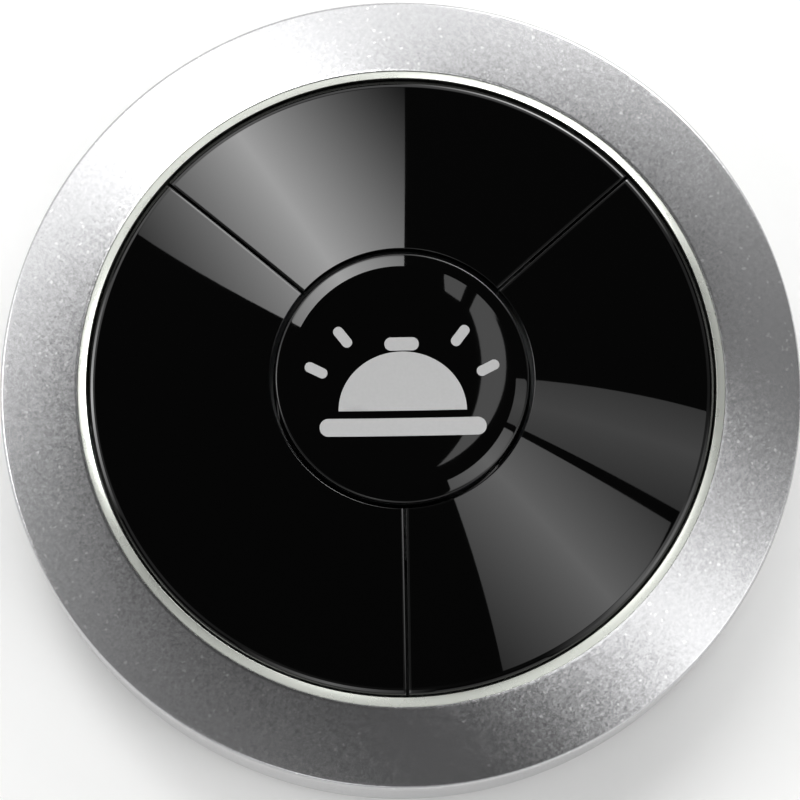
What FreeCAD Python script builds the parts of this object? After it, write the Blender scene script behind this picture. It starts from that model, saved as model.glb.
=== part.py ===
import FreeCAD
import Part
import math
import os

# Wireless waiter call button: a round table unit with a silver ring, a domed gloss black face
# in three sectors, and one round push button in the middle. Millimetres. +Z is up, -Y faces the
# guest, and the origin is on the table under the middle of the unit.

V = FreeCAD.Vector
UP = V(0, 0, 1)

# Overall form. The ring's top and the black face lie on one large sphere, whose top is above
# the button's middle. The unit is laid out from the coin cell outwards and from the table up.
dome_radius = 146.0
dome_apex_rise = 8.0
cut_overrun = 1.0

# Silver outer ring
ring_width = 8.35
ring_wall = 2.0
ring_lower_edge_height = 2.0
ring_edge_fillet = 0.5
ring_lower_fillet = 0.4
lip_wall = 1.5
ledge_thickness = 1.5
ledge_reach = 3.15
stop_rib_count = 12
stop_rib_thickness = 1.2
stop_rib_reach = 1.9

# Bright trim ring round the black face
trim_seam = 0.1
trim_width = 0.85
trim_proud = 0.5
trim_bevel_width = 0.6
trim_bevel_height = 0.45
trim_inner_bevel = 0.1

# Black face panels: one behind, two at the sides and front
panel_gap = 0.25
groove_width = 0.3
panel_thickness = 1.8
panel_wall = 1.2
panel_edge_fillet = 0.15
panel_bevel_width = 0.55
panel_bevel_angle = 27.0
groove_angles = (42.0, 138.0, 270.0)
peg_radius = 1.2
peg_skirt_gap = 2.0
peg_clearance = 0.05
peg_span_shares = (-0.3, 0.3)

# Push button
button_radius = 13.35
button_gap = 0.5
button_proud = 0.1
button_wall = 1.4
button_roof = 1.5
button_edge_fillet = 0.35
button_rim_width = 1.45
dish_depth = 0.45
button_travel = 0.8
button_flange_reach = 1.45
button_flange_thickness = 1.0
button_stop_gap = 0.05
button_end_gap = 0.1
plunger_radius = 3.5
plunger_rib_thickness = 1.0
plunger_rib_depth = 1.6
guide_clearance = 0.3
key_width = 1.4
key_depth = 0.8
key_clearance = 0.15

# Clear light guide that shows the sending light in the gap round the button
light_ring_clearance = 0.2
light_ring_height = 1.65
light_ring_width = 2.85
light_flange_width = 2.4
light_flange_height = 1.05
light_leg_radius = 0.9
light_leg_inset = 1.0
light_leg_clearance = 0.15
light_leg_angles = (60.0, 240.0)

# Face carrier: the deck that holds the panels, the button's hub and the screw posts
carrier_clearance = 0.1
carrier_thickness = 1.6
carrier_hole_radius = 11.0
hub_wall = 1.5
post_radius = 2.8
post_angles = (45.0, 135.0, 225.0, 315.0)
post_end_gap = 0.1
board_boss_radius = 2.2
board_boss_skirt_gap = 0.2
board_boss_height = 1.4
board_boss_angles = (90.0, 204.0, 336.0)
hole_clearance = 0.3

# Silicone keypad with one dome, and the carbon pill under the dome
keypad_thickness = 1.0
keypad_edge_gap = 0.2
dome_rise = 3.9
dome_foot_radius = 8.9
dome_boss_radius = 5.2
dome_boss_height = 0.85
dome_web = 0.5
dome_core_radius = 2.6
pill_radius = 2.4
pill_thickness = 0.4
pill_end_gap = 0.05
led_window_radius = 2.3

# Circuit board and what is soldered to it
board_thickness = 1.6
board_edge_gap = 0.5
board_post_margin = 2.2
pad_radius = 2.6
pad_thickness = 0.05
pad_split = 0.4
led_length = 2.0
led_width = 1.25
led_height = 0.8
trace_thickness = 0.1
antenna_width = 1.0
antenna_inset = 0.5
antenna_feed_angle = 300.0
antenna_sweep_angle = 310.0
chip_holder_gap = 7.5
chip_angle = 165.0
chip_length = 4.9
chip_width = 3.9
chip_height = 1.5
chip_standoff = 0.15
chip_lead_pitch = 1.27
chip_lead_width = 0.42
chip_lead_reach = 1.05
chip_lead_thickness = 0.2
saw_holder_gap = 7.5
saw_angle = 15.0
saw_radius = 4.2
saw_brim = 0.45
saw_brim_thickness = 0.5
saw_height = 3.2
transistor_angle = 65.0
transistor_length = 2.9
transistor_width = 1.3
transistor_height = 1.0
chip_part_length = 2.0
chip_part_width = 1.25
chip_part_height = 0.6
chip_part_holder_gap = 9.0
chip_part_angles = (76.0, 106.0, 114.0, 148.0, 184.0, 192.0, 244.0, 254.0, 288.0, 298.0, 350.0)

# Coin cell, its holder and its contacts, under the board
cell_radius = 12.25
cell_thickness = 5.0
cell_step = 0.5
cell_clearance = 0.25
cell_seat_gap = 0.05
holder_wall = 2.0
holder_end_gap = 0.3
contact_thickness = 0.25
contact_width = 4.0
contact_spring_height = 2.25
contact_pad_length = 4.0
contact_arm_length = 9.0
contact_tip_length = 2.0
contact_tip_lift = 0.6
contact_slot_clearance = 0.2
contact_side_drop = 3.6

# Base cover
base_underside_height = 1.0
base_floor = 2.0
base_wall = 2.0
base_fit = 0.2
base_rim_height = 9.0
base_edge_chamfer = 0.6
base_rib_count = 8
base_rib_thickness = 1.2
base_rib_height = 1.6
well_wall = 1.0
well_height = 2.5
well_collar_gap = 4.0
seal_groove_height = 6.0
seal_groove_depth = 1.0
seal_groove_clearance = 0.15
seal_free_gap = 0.02

# Battery door with a coin slot and three bayonet lugs
door_cup_wall = 1.25
door_flange_width = 2.65
door_flange_recess = 1.7
door_inset = 0.2
door_clearance = 0.2
door_boss_clearance = 0.15
door_seat_gap = 0.1
door_floor = 1.9
bayonet_ledge = 1.5
collar_wall = 2.0
collar_height = 2.8
lug_reach = 1.7
lug_thickness = 1.0
lug_gap = 0.1
lug_count = 3
lug_angle = 30.0
lug_notch_margin_angle = 3.0
lug_stop_margin_angle = 1.5
door_turn_angle = 45.0
coin_slot_length = 15.0
coin_slot_width = 1.8
coin_slot_depth = 1.0
door_seal_section_radius = 0.45
door_seal_clearance = 0.1
door_seal_free_gap = 0.05

# Rubber feet
foot_radius = 4.0
foot_base_inset = 7.3
foot_recess = 0.8
foot_clearance = 0.1
foot_edge_radius = 0.3
foot_angles = (0.0, 90.0, 180.0, 270.0)

# Screws
base_screw_head_radius = 2.4
base_screw_head_height = 1.6
base_screw_shank_radius = 1.25
base_screw_shank_length = 7.5
board_screw_head_radius = 1.9
board_screw_head_height = 1.2
board_screw_shank_radius = 0.95
board_screw_shank_length = 4.0
screw_hole_clearance = 0.25
screw_thread_fit = 0.02
screw_head_rounding = 0.4
screw_recess_span_share = 0.62
screw_recess_width_share = 0.16
screw_recess_depth_share = 0.5

# Battery door and collar, outwards from the cell
cup_radius = cell_radius + cell_clearance
holder_radius = cup_radius + holder_wall
door_boss_radius = cup_radius + door_cup_wall
door_flange_radius = door_boss_radius + door_flange_width
door_recess_radius = door_flange_radius + door_clearance
door_hole_radius = door_boss_radius + door_boss_clearance
door_seal_circle_radius = (door_boss_radius + door_flange_radius) / 2
lug_radius = door_hole_radius + lug_reach
lug_bore_radius = lug_radius + door_clearance
collar_radius = lug_bore_radius + collar_wall

# Board, ring and base, outwards from the collar
well_radius = base_screw_head_radius + hole_clearance + well_wall
post_circle_radius = collar_radius + well_collar_gap + well_radius
board_radius = post_circle_radius + post_radius + board_post_margin
ledge_radius = board_radius + board_edge_gap
ring_opening_radius = ledge_radius + ledge_reach
body_radius = ring_opening_radius + ring_width
base_radius = body_radius - ring_wall - base_fit
foot_circle_radius = base_radius - foot_base_inset
seal_groove_radius = base_radius - seal_groove_depth
seal_section_radius = (body_radius - ring_wall - seal_groove_radius) / 2 - seal_free_gap
chip_circle_radius = holder_radius + chip_holder_gap
saw_circle_radius = holder_radius + saw_holder_gap
chip_part_circle_radius = holder_radius + chip_part_holder_gap

# Trim and face, inwards from the ring
trim_outer_radius = ring_opening_radius - trim_seam
trim_inner_radius = trim_outer_radius - trim_width
panel_outer_radius = trim_inner_radius - panel_gap
carrier_radius = trim_inner_radius - carrier_clearance

# Button, hub, light guide and panel skirts, outwards from the button
panel_inner_radius = button_radius + button_gap
button_flange_radius = button_radius + button_flange_reach
hub_bore_radius = button_flange_radius + guide_clearance
hub_radius = hub_bore_radius + hub_wall
light_ring_bore_radius = button_radius + light_ring_clearance
light_ring_radius = light_ring_bore_radius + light_ring_width
light_flange_radius = light_ring_radius + light_flange_width
light_leg_circle_radius = light_flange_radius - light_leg_inset
panel_skirt_radius = light_flange_radius + light_ring_clearance
peg_circle_radius = panel_skirt_radius + panel_wall + peg_skirt_gap + peg_radius
board_boss_circle_radius = (
    panel_skirt_radius + panel_wall + board_boss_skirt_gap + board_boss_radius
)

# Levels of the base, the door and the cell, up from the table
floor_top = base_underside_height + base_floor
foot_top = base_underside_height + foot_recess
door_face = base_underside_height + door_inset
door_recess_top = base_underside_height + door_flange_recess
door_flange_top = door_recess_top - door_seat_gap
bayonet_top = door_recess_top + bayonet_ledge
lug_bottom = bayonet_top + lug_gap
lug_top = lug_bottom + lug_thickness
collar_top = floor_top + collar_height
well_top = floor_top + well_height
screw_seat = well_top - (well_height + base_floor) / 2
post_bottom = well_top + post_end_gap
cup_floor = door_face + door_floor
cell_bottom = cup_floor + cell_seat_gap
cell_top = cell_bottom + cell_thickness

# Levels of the board, the carrier and the button, up from the cell
board_bottom = cell_top + contact_spring_height
board_top = board_bottom + board_thickness
ledge_height = board_top + keypad_thickness
carrier_top = ledge_height + carrier_thickness
button_flange_bottom = carrier_top + button_travel + button_end_gap
button_flange_top = button_flange_bottom + button_flange_thickness
hub_top = button_flange_top + button_stop_gap
light_ring_top = hub_top + light_ring_height
pill_bottom = board_top + pad_thickness + button_travel + pill_end_gap
pill_top = pill_bottom + pill_thickness
dome_top = board_top + dome_rise
face_apex_height = ledge_height + dome_apex_rise
sphere_centre_height = face_apex_height - dome_radius


# Height of the large sphere at a radius, or of a sphere a wall's depth inside it
def dome_height(radius, depth=0):
    inner = dome_radius - depth
    return sphere_centre_height + math.sqrt(inner * inner - radius * radius)


# A point on a circle about the axis
def polar(radius, angle, height=0):
    turn = math.radians(angle)
    return V(radius * math.cos(turn), radius * math.sin(turn), height)


# Closed face in the XZ plane. A step is a point (radius, height), or a pair of points: an arc's
# middle and its end.
def outline(start, *steps):
    edges = []
    here = V(start[0], 0, start[1])
    first = here
    for step in (*steps, start):
        if isinstance(step[0], tuple):
            middle, end = (V(p[0], 0, p[1]) for p in step)
            edges.append(Part.Arc(here, middle, end).toShape())
        else:
            end = V(step[0], 0, step[1])
            if end.distanceToPoint(here) > 0:
                edges.append(Part.LineSegment(here, end).toShape())
        here = end
    assert here.distanceToPoint(first) == 0
    return Part.Face(Part.Wire(edges))


def turned(start, *steps):
    return outline(start, *steps).revolve(V(), UP, 360)


# Arc step along the large sphere, or inside it by a wall's depth
def dome_arc(from_radius, to_radius, depth=0):
    middle = (from_radius + to_radius) / 2
    return ((middle, dome_height(middle, depth)), (to_radius, dome_height(to_radius, depth)))


# Arc step from a round edge in to the axis, along a sphere that is centred on the axis
def dish_arc(radius, edge, middle):
    depth = edge - middle
    bend = (radius * radius + depth * depth) / (2 * depth)
    half = radius / 2
    return ((half, middle + bend - math.sqrt(bend * bend - half * half)), (0, middle))


def tube(outer, inner, bottom, top):
    return turned((inner, bottom), (outer, bottom), (outer, top), (inner, top))


def rod(radius, bottom, top, at=V()):
    return Part.makeCylinder(radius, top - bottom, V(at.x, at.y, bottom))


# One rod at each angle of a circle
def rods(radius, bottom, top, circle, angles):
    return [rod(radius, bottom, top, polar(circle, angle)) for angle in angles]


# Box by its size, standing on a height, centred on a place and turned about it
def block(length, width, bottom, top, at=V(), angle=0):
    solid = Part.makeBox(length, width, top - bottom, V(-length / 2, -width / 2, bottom))
    solid.rotate(V(), UP, angle)
    return solid.translated(V(at.x, at.y, 0))


# Radial plates through the axis out to a radius, one at each angle
def plates(thickness, reach, bottom, top, angles):
    middle = reach / 2
    return [block(reach, thickness, bottom, top, polar(middle, a), a) for a in angles]


def even_angles(count, first=0):
    return [first + 360 / count * n for n in range(count)]


# Pie slice between two radii
def wedge(inner, outer, bottom, top, from_angle, span):
    start = V(inner, 0, bottom)
    side = Part.makePolygon(
        [start, V(outer, 0, bottom), V(outer, 0, top), V(inner, 0, top), start]
    )
    slice_ = Part.Face(side).revolve(V(), UP, span)
    slice_.rotate(V(), UP, from_angle)
    return slice_


# Outer edges of a solid's domed face and the bevel beside it, without the crease between the two
def top_edges(solid):
    rims = [
        face.OuterWire.Edges
        for face in solid.Faces
        if isinstance(face.Surface, (Part.Sphere, Part.Cone))
    ]
    dome_rim, bevel_rim = rims
    crease = [e for e in dome_rim if any(e.isSame(other) for other in bevel_rim)]
    return [e for e in dome_rim + bevel_rim if not any(e.isSame(c) for c in crease)]


# Full circles of a radius at a height
def circles(solid, radius, height):
    small = cut_overrun / 1000
    return [
        e
        for e in solid.Edges
        if not e.Degenerated
        and isinstance(e.Curve, Part.Circle)
        and abs(e.Curve.Radius - radius) < small
        and abs(e.Curve.Center.z - height) < small
    ]


# Ring: side wall, domed top, inner lip and the ledge that the face carrier sits on
def make_outer_ring():
    wall_inside = body_radius - ring_wall
    lip_outside = ring_opening_radius + lip_wall
    ledge_bottom = ledge_height - ledge_thickness
    shell = turned(
        (body_radius, ring_lower_edge_height),
        (body_radius, dome_height(body_radius)),
        dome_arc(body_radius, ring_opening_radius),
        (ring_opening_radius, ledge_height),
        (ledge_radius, ledge_height),
        (ledge_radius, ledge_bottom),
        (lip_outside, ledge_bottom),
        (lip_outside, dome_height(lip_outside, ring_wall)),
        dome_arc(lip_outside, wall_inside, ring_wall),
        (wall_inside, ring_lower_edge_height),
    )
    shell = shell.makeFillet(
        ring_edge_fillet, circles(shell, body_radius, dome_height(body_radius))
    )
    shell = shell.makeFillet(
        ring_lower_fillet, circles(shell, body_radius, ring_lower_edge_height)
    )
    # Ribs down the inside, whose lower ends stop the base cover's rim
    rib_inside = wall_inside - stop_rib_reach
    rib_band = turned(
        (rib_inside, base_rim_height),
        (wall_inside + ring_wall / 2, base_rim_height),
        (wall_inside + ring_wall / 2, dome_height(wall_inside + ring_wall / 2, ring_wall / 2)),
        dome_arc(wall_inside + ring_wall / 2, rib_inside, ring_wall / 2),
    )
    first = 180 / stop_rib_count
    ribs = plates(
        stop_rib_thickness, body_radius, 0, face_apex_height, even_angles(stop_rib_count, first)
    )
    return shell.fuse([rib_band.common(rib) for rib in ribs]).removeSplitter()


# Bevelled band that stands on the ring's ledge, just proud of the ring
def make_inner_trim_ring():
    top = dome_height(ring_opening_radius) + trim_proud
    return turned(
        (trim_inner_radius, ledge_height),
        (trim_outer_radius, ledge_height),
        (trim_outer_radius, top - trim_bevel_height),
        (trim_outer_radius - trim_bevel_width, top),
        (trim_inner_radius + trim_inner_bevel, top),
        (trim_inner_radius, top - trim_inner_bevel),
    )


# Angles where a panel's pegs go down into the carrier
def peg_angles(start, end):
    middle = (start + end) / 2
    return [middle + share * (end - start) for share in peg_span_shares]


# The three sectors as pairs of angles, anticlockwise from the right-hand groove
def sectors():
    right, left, front = groove_angles
    return {
        "top_face_panel": (right, left),
        "left_face_panel": (left, front),
        "right_face_panel": (front - 360, right),
    }


# The panel ring cut into its sectors by grooves of a width, as (angle of its middle, solid)
def cut_by_grooves(ring, width):
    arms = plates(width, body_radius, 0, face_apex_height + cut_overrun, groove_angles)
    return ring.cut(arms).Solids


def sector_piece(solids, start, end):
    middle = polar(1, (start + end) / 2)
    return max(solids, key=lambda s: s.CenterOfMass.normalize().dot(middle))


# Panels: domed trays with a bevel along the trim and rounded edges, hollow below, held by pegs
def make_face_panels():
    seam_angle = groove_angles[-1]
    bevel_radius = panel_outer_radius - panel_bevel_width
    bevel_drop = panel_bevel_width * math.tan(math.radians(panel_bevel_angle))
    hollow_outer = panel_outer_radius - panel_wall
    hollow_inner = panel_skirt_radius + panel_wall
    blank = turned(
        (panel_outer_radius, carrier_top),
        (panel_outer_radius, dome_height(bevel_radius) - bevel_drop),
        (bevel_radius, dome_height(bevel_radius)),
        dome_arc(bevel_radius, panel_inner_radius),
        (panel_inner_radius, light_ring_top),
        (panel_skirt_radius, light_ring_top),
        (panel_skirt_radius, carrier_top),
    )
    hollow = turned(
        (hollow_outer, carrier_top - cut_overrun),
        (hollow_outer, dome_height(hollow_outer, panel_thickness)),
        dome_arc(hollow_outer, hollow_inner, panel_thickness),
        (hollow_inner, carrier_top - cut_overrun),
    )
    # The surfaces' seams are put where the front groove cuts them away
    for solid in (blank, hollow):
        solid.rotate(V(), UP, seam_angle)
    bodies = cut_by_grooves(blank, groove_width)
    hollows = cut_by_grooves(hollow, groove_width + 2 * panel_wall)
    made = {}
    for name, (start, end) in sectors().items():
        body = sector_piece(bodies, start, end)
        body = body.makeFillet(panel_edge_fillet, top_edges(body))
        body = body.cut(sector_piece(hollows, start, end))
        peg_top = dome_height(peg_circle_radius, panel_thickness / 2)
        pegs = rods(
            peg_radius, ledge_height, peg_top, peg_circle_radius, peg_angles(start, end)
        )
        made[name] = body.fuse(pegs)
    return made


# Push button cap: domed rim, dished middle, skirt with a stop flange, ribbed plunger
def make_call_button_cap():
    top = dome_height(button_radius) + button_proud
    dish_radius = button_radius - button_rim_width
    dish_edge = dome_height(dish_radius) + button_proud
    dish_middle = dish_edge - dish_depth
    roof_under = dish_middle - button_roof
    inside = button_radius - button_wall
    shell = turned(
        (0, roof_under),
        (inside, roof_under),
        (inside, button_flange_bottom),
        (button_flange_radius, button_flange_bottom),
        (button_flange_radius, button_flange_top),
        (button_radius, button_flange_top),
        (button_radius, top),
        (dish_radius, dish_edge),
        dish_arc(dish_radius, dish_edge, dish_middle),
    )
    shell = shell.makeFillet(button_edge_fillet, circles(shell, button_radius, top))
    plunger = rod(plunger_radius, dome_top, roof_under)
    rib_bottom = roof_under - plunger_rib_depth
    ribs = [
        block(2 * inside, plunger_rib_thickness, rib_bottom, roof_under, V(), angle)
        for angle in (0, 60, 120)
    ]
    cap = shell.fuse([plunger, *ribs]).removeSplitter()
    # Notches that slide on the hub's keys and keep the cap from turning
    notches = key_blocks(key_width + 2 * key_clearance, key_depth + key_clearance)
    return cap.cut([n.common(flange_band()) for n in notches])


# The space of the stop flange, with room above and below
def flange_band():
    return tube(
        button_flange_radius + cut_overrun,
        button_radius,
        button_flange_bottom - cut_overrun,
        button_flange_top + cut_overrun,
    )


# Keys at the left and right of the hub's bore, reaching in past the flange's edge
def key_blocks(width, depth):
    reach = depth + guide_clearance + hub_wall / 2
    middle = button_flange_radius - depth + reach / 2
    return [
        block(reach, width, carrier_top - carrier_thickness / 2, hub_top, polar(middle, a), a)
        for a in (0, 180)
    ]


# Clear ring on the hub, which holds the button in and pipes light up its edge
def make_light_guide_ring():
    ring = turned(
        (light_ring_bore_radius, hub_top),
        (light_flange_radius, hub_top),
        (light_flange_radius, hub_top + light_flange_height),
        (light_ring_radius, hub_top + light_flange_height),
        (light_ring_radius, light_ring_top),
        (light_ring_bore_radius, light_ring_top),
    )
    leg_bottom = board_top + led_height + light_leg_clearance
    legs = rods(
        light_leg_radius, leg_bottom, hub_top, light_leg_circle_radius, light_leg_angles
    )
    return ring.fuse(legs).removeSplitter()


# Deck with the button's hub, posts for the base screws and bosses for the board screws
def make_face_carrier():
    deck = turned(
        (carrier_hole_radius, ledge_height),
        (carrier_radius, ledge_height),
        (carrier_radius, carrier_top),
        (hub_radius, carrier_top),
        (hub_radius, hub_top),
        (hub_bore_radius, hub_top),
        (hub_bore_radius, carrier_top),
        (carrier_hole_radius, carrier_top),
    )
    posts = rods(post_radius, post_bottom, carrier_top, post_circle_radius, post_angles)
    bosses = rods(
        board_boss_radius,
        board_top,
        carrier_top + board_boss_height,
        board_boss_circle_radius,
        board_boss_angles,
    )
    solid = deck.fuse([*posts, *bosses, *key_blocks(key_width, key_depth)]).removeSplitter()
    screw_tip = screw_seat + base_screw_shank_length
    cuts = rods(
        base_screw_shank_radius + screw_thread_fit,
        post_bottom - cut_overrun,
        screw_tip + hole_clearance,
        post_circle_radius,
        post_angles,
    )
    board_screw_tip = board_bottom + board_screw_shank_length
    cuts += rods(
        board_screw_shank_radius + screw_thread_fit,
        board_top - cut_overrun,
        board_screw_tip + hole_clearance,
        board_boss_circle_radius,
        board_boss_angles,
    )
    cuts += rods(
        light_leg_radius + light_leg_clearance,
        ledge_height - cut_overrun,
        carrier_top + cut_overrun,
        light_leg_circle_radius,
        light_leg_angles,
    )
    for start, end in sectors().values():
        cuts += rods(
            peg_radius + peg_clearance,
            ledge_height - cut_overrun,
            carrier_top + cut_overrun,
            peg_circle_radius,
            peg_angles(start, end),
        )
    return solid.cut(cuts)


# Holes that the keypad needs for the posts, the bosses and the light guide's legs
def keypad_holes():
    low = board_top - cut_overrun
    high = ledge_height + cut_overrun
    holes = rods(post_radius + hole_clearance, low, high, post_circle_radius, post_angles)
    holes += rods(
        board_boss_radius + hole_clearance, low, high, board_boss_circle_radius, board_boss_angles
    )
    holes += rods(led_window_radius, low, high, light_leg_circle_radius, light_leg_angles)
    return holes


# Silicone sheet on the board with one conical dome that returns the button
def make_silicone_keypad():
    edge = ledge_radius - keypad_edge_gap
    shoulder = dome_top - dome_boss_height
    inner_shoulder = shoulder - dome_web
    sheet = turned(
        (0, pill_top),
        (dome_core_radius, pill_top),
        (dome_core_radius, inner_shoulder),
        (dome_boss_radius - dome_web, inner_shoulder),
        (dome_foot_radius - dome_web, board_top),
        (edge, board_top),
        (edge, ledge_height),
        (dome_foot_radius, ledge_height),
        (dome_boss_radius, shoulder),
        (dome_boss_radius, dome_top),
        (0, dome_top),
    )
    return sheet.cut(keypad_holes())


def make_contact_pill():
    return rod(pill_radius, pill_bottom, pill_top)


def make_circuit_board():
    low = board_bottom - cut_overrun
    high = board_top + cut_overrun
    holes = rods(post_radius + hole_clearance, low, high, post_circle_radius, post_angles)
    holes += rods(
        board_screw_shank_radius + screw_hole_clearance,
        low,
        high,
        board_boss_circle_radius,
        board_boss_angles,
    )
    return rod(board_radius, board_bottom, board_top).cut(holes)


# Two half-round pads that the carbon pill bridges
def make_key_contact_pads():
    disc = rod(pad_radius, board_top, board_top + pad_thickness)
    split = block(
        2 * pad_radius + cut_overrun,
        pad_split,
        board_top - cut_overrun,
        board_top + cut_overrun,
    )
    return disc.cut(split)


def make_indicator_leds():
    top = board_top + led_height
    return Part.makeCompound(
        [
            block(led_length, led_width, board_top, top, polar(light_leg_circle_radius, a), a)
            for a in light_leg_angles
        ]
    )


# Copper loop round the board's edge, on its underside
def make_loop_antenna():
    outer = board_radius - antenna_inset
    return wedge(
        outer - antenna_width,
        outer,
        board_bottom - trace_thickness,
        board_bottom,
        antenna_feed_angle,
        antenna_sweep_angle,
    )


# Eight-lead encoder chip, hanging under the board
def make_encoder_chip():
    at = polar(chip_circle_radius, chip_angle)
    top = board_bottom - chip_standoff
    package = block(chip_length, chip_width, top - chip_height, top)
    leads = []
    for n in range(4):
        x = (n - 1.5) * chip_lead_pitch
        for side in (-1, 1):
            foot_y = side * (chip_width / 2 + chip_lead_reach - chip_lead_reach / 4)
            leg_y = side * (chip_width / 2 + chip_lead_reach / 4)
            foot = block(
                chip_lead_width,
                chip_lead_reach / 2,
                board_bottom - chip_lead_thickness,
                board_bottom,
                V(x, foot_y, 0),
            )
            leg = block(
                chip_lead_width,
                chip_lead_reach / 2,
                top - chip_height / 2,
                board_bottom,
                V(x, leg_y, 0),
            )
            leads += [foot, leg]
    chip = package.fuse(leads).removeSplitter()
    chip.rotate(V(), UP, chip_angle)
    return chip.translated(at)


# Round metal resonator can, brim against the board
def make_saw_resonator():
    at = polar(saw_circle_radius, saw_angle)
    brim_bottom = board_bottom - saw_brim_thickness
    brim = rod(saw_radius + saw_brim, brim_bottom, board_bottom, at)
    can = rod(saw_radius, board_bottom - saw_height, brim_bottom, at)
    return brim.fuse(can).removeSplitter()


def make_rf_transistor():
    at = polar(chip_part_circle_radius, transistor_angle)
    bottom = board_bottom - transistor_height
    body = block(transistor_length, transistor_width, bottom, board_bottom, at, transistor_angle)
    return body


# Resistors and capacitors as one group
def make_chip_parts():
    bottom = board_bottom - chip_part_height
    return Part.makeCompound(
        [
            block(
                chip_part_length,
                chip_part_width,
                bottom,
                board_bottom,
                polar(chip_part_circle_radius, a),
                a + 90,
            )
            for a in chip_part_angles
        ]
    )


# Plastic collar under the board that centres the coin cell, slotted for the side contact
def make_battery_holder():
    ring = tube(holder_radius, cup_radius, lug_top + holder_end_gap, board_bottom)
    slot = block(
        2 * holder_wall + cut_overrun,
        contact_width + 2 * contact_slot_clearance,
        0,
        board_bottom + cut_overrun,
        polar(cup_radius + holder_wall / 2, 0),
    )
    return ring.cut(slot)


# Sheet metal strip from a list of (distance, height) points, as wide as the contact
def strip(points, width):
    half = width / 2
    upper = [V(x, -half, z) for x, z in points]
    lower = [V(x, -half, z - contact_thickness) for x, z in reversed(points)]
    face = Part.Face(Part.makePolygon([*upper, *lower, upper[0]]))
    return face.extrude(V(0, width, 0))


# Leaf spring from the board down to the cell's upper face
def make_battery_negative_contact():
    start = -cell_radius / 2 - contact_pad_length / 2
    bend = start + contact_pad_length
    touch = bend + contact_arm_length
    return strip(
        [
            (start, board_bottom),
            (bend, board_bottom),
            (touch, cell_top + contact_thickness),
            (touch + contact_tip_length, cell_top + contact_thickness + contact_tip_lift),
        ],
        contact_width,
    )


# Bent strip that touches the cell's rim, in the holder's slot
def make_battery_positive_contact():
    inner = cell_radius + cell_seat_gap
    foot_top_height = board_bottom
    foot = block(
        contact_pad_length,
        contact_width,
        foot_top_height - contact_thickness,
        foot_top_height,
        V(inner + contact_pad_length / 2, 0, 0),
    )
    leg = block(
        contact_thickness,
        contact_width,
        board_bottom - contact_side_drop,
        board_bottom,
        V(inner + contact_thickness / 2, 0, 0),
    )
    return foot.fuse(leg).removeSplitter()


# Coin cell: the can faces the door, and the smaller lid faces the board
def make_coin_cell():
    lid_height = cell_step
    can = rod(cell_radius, cell_bottom, cell_top - lid_height)
    lid = rod(cell_radius - 2 * cell_step, cell_top - lid_height, cell_top)
    return can.fuse(lid).removeSplitter()


# Base cover: floor, side wall with a seal groove, screw wells and the battery door's collar
def make_base_cover():
    wall_inside = base_radius - base_wall
    shell = turned(
        (door_recess_radius, base_underside_height),
        (base_radius - base_edge_chamfer, base_underside_height),
        (base_radius, base_underside_height + base_edge_chamfer),
        (base_radius, base_rim_height),
        (wall_inside, base_rim_height),
        (wall_inside, floor_top),
        (collar_radius, floor_top),
        (collar_radius, collar_top),
        (lug_bore_radius, collar_top),
        (lug_bore_radius, bayonet_top),
        (door_hole_radius, bayonet_top),
        (door_hole_radius, door_recess_top),
        (door_recess_radius, door_recess_top),
    )
    rib_band = tube(
        wall_inside + base_wall / 2,
        collar_radius - collar_wall / 2,
        floor_top - base_floor / 2,
        floor_top + base_rib_height,
    )
    rib_plates = plates(
        base_rib_thickness,
        body_radius,
        0,
        body_radius,
        even_angles(base_rib_count, 180 / base_rib_count),
    )
    ribs = [rib_band.common(plate) for plate in rib_plates]
    wells = rods(
        well_radius, floor_top - base_floor / 2, well_top, post_circle_radius, post_angles
    )
    solid = shell.fuse([*ribs, *wells, *bayonet_stops()]).removeSplitter()
    low = base_underside_height - cut_overrun
    cuts = rods(
        base_screw_head_radius + hole_clearance, low, screw_seat, post_circle_radius, post_angles
    )
    cuts += rods(
        base_screw_shank_radius + screw_hole_clearance,
        low,
        well_top + cut_overrun,
        post_circle_radius,
        post_angles,
    )
    cuts += rods(foot_radius + foot_clearance, low, foot_top, foot_circle_radius, foot_angles)
    half_groove = seal_section_radius + seal_groove_clearance
    cuts.append(
        tube(
            base_radius + cut_overrun,
            seal_groove_radius,
            seal_groove_height - half_groove,
            seal_groove_height + half_groove,
        )
    )
    # Notches that let the door's lugs in, one turn of the door away from where they lock
    span = lug_angle + 2 * lug_notch_margin_angle
    for angle in even_angles(lug_count):
        start = angle - door_turn_angle - span / 2
        cuts.append(
            wedge(
                door_hole_radius - cut_overrun,
                lug_bore_radius,
                door_recess_top - cut_overrun,
                bayonet_top + cut_overrun,
                start,
                span,
            )
        )
    return solid.cut(cuts)


# Blocks between the lugs' tracks, which stop the door where it locks and where it lifts out
def bayonet_stops():
    margin = lug_angle / 2 + lug_stop_margin_angle
    span = 360 / lug_count - door_turn_angle - 2 * margin
    return [
        wedge(
            door_hole_radius,
            collar_radius - collar_wall / 2,
            bayonet_top - bayonet_ledge / 2,
            lug_top,
            angle + margin,
            span,
        )
        for angle in even_angles(lug_count)
    ]


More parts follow.
